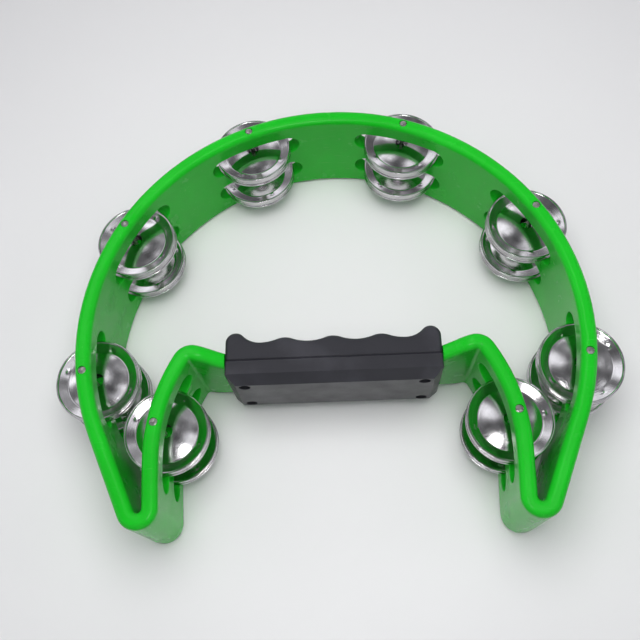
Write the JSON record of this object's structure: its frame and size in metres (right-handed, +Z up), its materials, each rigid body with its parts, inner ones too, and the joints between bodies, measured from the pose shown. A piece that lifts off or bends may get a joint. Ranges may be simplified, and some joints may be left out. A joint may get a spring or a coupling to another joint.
{
  "type": "half-moon tambourine",
  "caption": "Headless half-moon tambourine with a moulded plastic frame, a closed two-part finger grip and double rows of paired steel jingles on pins.",
  "frame": {"origin": "middle of the instrument's footprint, on the surface it lies on", "axes": "+Z up, square to the flat-lying frame; +Y from the grip towards the top of the arc; +X along the grip to the right"},
  "size_m": [0.291, 0.2373, 0.06],
  "materials": {
    "green_plastic": "glossy",
    "black_plastic": "satin",
    "screw_steel": "satin",
    "pin_steel": "satin",
    "nickel_steel": "polished"
  },
  "bodies": {
    "instrument": {"frame": "green_plastic", "grip_palm_shell": "black_plastic", "grip_finger_shell": "black_plastic", "grip_screws": "screw_steel", "pin_left_top": "pin_steel", "pin_left_side": "pin_steel", "pin_left_low": "pin_steel", "pin_left_leg": "pin_steel", "pin_right_top": "pin_steel", "pin_right_side": "pin_steel", "pin_right_low": "pin_steel", "pin_right_leg": "pin_steel"},
    "jingle_left_top_high_lower": {"jingle_left_top_high_lower": "nickel_steel"},
    "jingle_left_top_high_upper": {"jingle_left_top_high_upper": "nickel_steel"},
    "jingle_left_top_low_lower": {"jingle_left_top_low_lower": "nickel_steel"},
    "jingle_left_top_low_upper": {"jingle_left_top_low_upper": "nickel_steel"},
    "jingle_left_side_high_lower": {"jingle_left_side_high_lower": "nickel_steel"},
    "jingle_left_side_high_upper": {"jingle_left_side_high_upper": "nickel_steel"},
    "jingle_left_side_low_lower": {"jingle_left_side_low_lower": "nickel_steel"},
    "jingle_left_side_low_upper": {"jingle_left_side_low_upper": "nickel_steel"},
    "jingle_left_low_high_lower": {"jingle_left_low_high_lower": "nickel_steel"},
    "jingle_left_low_high_upper": {"jingle_left_low_high_upper": "nickel_steel"},
    "jingle_left_low_low_lower": {"jingle_left_low_low_lower": "nickel_steel"},
    "jingle_left_low_low_upper": {"jingle_left_low_low_upper": "nickel_steel"},
    "jingle_left_leg_high_lower": {"jingle_left_leg_high_lower": "nickel_steel"},
    "jingle_left_leg_high_upper": {"jingle_left_leg_high_upper": "nickel_steel"},
    "jingle_left_leg_low_lower": {"jingle_left_leg_low_lower": "nickel_steel"},
    "jingle_left_leg_low_upper": {"jingle_left_leg_low_upper": "nickel_steel"},
    "jingle_right_top_high_lower": {"jingle_right_top_high_lower": "nickel_steel"},
    "jingle_right_top_high_upper": {"jingle_right_top_high_upper": "nickel_steel"},
    "jingle_right_top_low_lower": {"jingle_right_top_low_lower": "nickel_steel"},
    "jingle_right_top_low_upper": {"jingle_right_top_low_upper": "nickel_steel"},
    "jingle_right_side_high_lower": {"jingle_right_side_high_lower": "nickel_steel"},
    "jingle_right_side_high_upper": {"jingle_right_side_high_upper": "nickel_steel"},
    "jingle_right_side_low_lower": {"jingle_right_side_low_lower": "nickel_steel"},
    "jingle_right_side_low_upper": {"jingle_right_side_low_upper": "nickel_steel"},
    "jingle_right_low_high_lower": {"jingle_right_low_high_lower": "nickel_steel"},
    "jingle_right_low_high_upper": {"jingle_right_low_high_upper": "nickel_steel"},
    "jingle_right_low_low_lower": {"jingle_right_low_low_lower": "nickel_steel"},
    "jingle_right_low_low_upper": {"jingle_right_low_low_upper": "nickel_steel"},
    "jingle_right_leg_high_lower": {"jingle_right_leg_high_lower": "nickel_steel"},
    "jingle_right_leg_high_upper": {"jingle_right_leg_high_upper": "nickel_steel"},
    "jingle_right_leg_low_lower": {"jingle_right_leg_low_lower": "nickel_steel"},
    "jingle_right_leg_low_upper": {"jingle_right_leg_low_upper": "nickel_steel"}
  },
  "joints": [
    {"name": "jingle_left_top_high_lower_lift", "type": "slide", "parent": "instrument", "child": "jingle_left_top_high_lower", "axis": [0, 0, 1], "range_m": [0, 0.0031]},
    {"name": "jingle_left_top_high_upper_lift", "type": "slide", "parent": "jingle_left_top_high_lower", "child": "jingle_left_top_high_upper", "axis": [0, 0, 1], "range_m": [0, 0.0031]},
    {"name": "jingle_left_top_low_lower_lift", "type": "slide", "parent": "instrument", "child": "jingle_left_top_low_lower", "axis": [0, 0, 1], "range_m": [0, 0.0031]},
    {"name": "jingle_left_top_low_upper_lift", "type": "slide", "parent": "jingle_left_top_low_lower", "child": "jingle_left_top_low_upper", "axis": [0, 0, 1], "range_m": [0, 0.0031]},
    {"name": "jingle_left_side_high_lower_lift", "type": "slide", "parent": "instrument", "child": "jingle_left_side_high_lower", "axis": [0, 0, 1], "range_m": [0, 0.0031]},
    {"name": "jingle_left_side_high_upper_lift", "type": "slide", "parent": "jingle_left_side_high_lower", "child": "jingle_left_side_high_upper", "axis": [0, 0, 1], "range_m": [0, 0.0031]},
    {"name": "jingle_left_side_low_lower_lift", "type": "slide", "parent": "instrument", "child": "jingle_left_side_low_lower", "axis": [0, 0, 1], "range_m": [0, 0.0031]},
    {"name": "jingle_left_side_low_upper_lift", "type": "slide", "parent": "jingle_left_side_low_lower", "child": "jingle_left_side_low_upper", "axis": [0, 0, 1], "range_m": [0, 0.0031]},
    {"name": "jingle_left_low_high_lower_lift", "type": "slide", "parent": "instrument", "child": "jingle_left_low_high_lower", "axis": [0, 0, 1], "range_m": [0, 0.0031]},
    {"name": "jingle_left_low_high_upper_lift", "type": "slide", "parent": "jingle_left_low_high_lower", "child": "jingle_left_low_high_upper", "axis": [0, 0, 1], "range_m": [0, 0.0031]},
    {"name": "jingle_left_low_low_lower_lift", "type": "slide", "parent": "instrument", "child": "jingle_left_low_low_lower", "axis": [0, 0, 1], "range_m": [0, 0.0031]},
    {"name": "jingle_left_low_low_upper_lift", "type": "slide", "parent": "jingle_left_low_low_lower", "child": "jingle_left_low_low_upper", "axis": [0, 0, 1], "range_m": [0, 0.0031]},
    {"name": "jingle_left_leg_high_lower_lift", "type": "slide", "parent": "instrument", "child": "jingle_left_leg_high_lower", "axis": [0, 0, 1], "range_m": [0, 0.0031]},
    {"name": "jingle_left_leg_high_upper_lift", "type": "slide", "parent": "jingle_left_leg_high_lower", "child": "jingle_left_leg_high_upper", "axis": [0, 0, 1], "range_m": [0, 0.0031]},
    {"name": "jingle_left_leg_low_lower_lift", "type": "slide", "parent": "instrument", "child": "jingle_left_leg_low_lower", "axis": [0, 0, 1], "range_m": [0, 0.0031]},
    {"name": "jingle_left_leg_low_upper_lift", "type": "slide", "parent": "jingle_left_leg_low_lower", "child": "jingle_left_leg_low_upper", "axis": [0, 0, 1], "range_m": [0, 0.0031]},
    {"name": "jingle_right_top_high_lower_lift", "type": "slide", "parent": "instrument", "child": "jingle_right_top_high_lower", "axis": [0, 0, 1], "range_m": [0, 0.0031]},
    {"name": "jingle_right_top_high_upper_lift", "type": "slide", "parent": "jingle_right_top_high_lower", "child": "jingle_right_top_high_upper", "axis": [0, 0, 1], "range_m": [0, 0.0031]},
    {"name": "jingle_right_top_low_lower_lift", "type": "slide", "parent": "instrument", "child": "jingle_right_top_low_lower", "axis": [0, 0, 1], "range_m": [0, 0.0031]},
    {"name": "jingle_right_top_low_upper_lift", "type": "slide", "parent": "jingle_right_top_low_lower", "child": "jingle_right_top_low_upper", "axis": [0, 0, 1], "range_m": [0, 0.0031]},
    {"name": "jingle_right_side_high_lower_lift", "type": "slide", "parent": "instrument", "child": "jingle_right_side_high_lower", "axis": [0, 0, 1], "range_m": [0, 0.0031]},
    {"name": "jingle_right_side_high_upper_lift", "type": "slide", "parent": "jingle_right_side_high_lower", "child": "jingle_right_side_high_upper", "axis": [0, 0, 1], "range_m": [0, 0.0031]},
    {"name": "jingle_right_side_low_lower_lift", "type": "slide", "parent": "instrument", "child": "jingle_right_side_low_lower", "axis": [0, 0, 1], "range_m": [0, 0.0031]},
    {"name": "jingle_right_side_low_upper_lift", "type": "slide", "parent": "jingle_right_side_low_lower", "child": "jingle_right_side_low_upper", "axis": [0, 0, 1], "range_m": [0, 0.0031]},
    {"name": "jingle_right_low_high_lower_lift", "type": "slide", "parent": "instrument", "child": "jingle_right_low_high_lower", "axis": [0, 0, 1], "range_m": [0, 0.0031]},
    {"name": "jingle_right_low_high_upper_lift", "type": "slide", "parent": "jingle_right_low_high_lower", "child": "jingle_right_low_high_upper", "axis": [0, 0, 1], "range_m": [0, 0.0031]},
    {"name": "jingle_right_low_low_lower_lift", "type": "slide", "parent": "instrument", "child": "jingle_right_low_low_lower", "axis": [0, 0, 1], "range_m": [0, 0.0031]},
    {"name": "jingle_right_low_low_upper_lift", "type": "slide", "parent": "jingle_right_low_low_lower", "child": "jingle_right_low_low_upper", "axis": [0, 0, 1], "range_m": [0, 0.0031]},
    {"name": "jingle_right_leg_high_lower_lift", "type": "slide", "parent": "instrument", "child": "jingle_right_leg_high_lower", "axis": [0, 0, 1], "range_m": [0, 0.0031]},
    {"name": "jingle_right_leg_high_upper_lift", "type": "slide", "parent": "jingle_right_leg_high_lower", "child": "jingle_right_leg_high_upper", "axis": [0, 0, 1], "range_m": [0, 0.0031]},
    {"name": "jingle_right_leg_low_lower_lift", "type": "slide", "parent": "instrument", "child": "jingle_right_leg_low_lower", "axis": [0, 0, 1], "range_m": [0, 0.0031]},
    {"name": "jingle_right_leg_low_upper_lift", "type": "slide", "parent": "jingle_right_leg_low_lower", "child": "jingle_right_leg_low_upper", "axis": [0, 0, 1], "range_m": [0, 0.0031]}
  ]
}
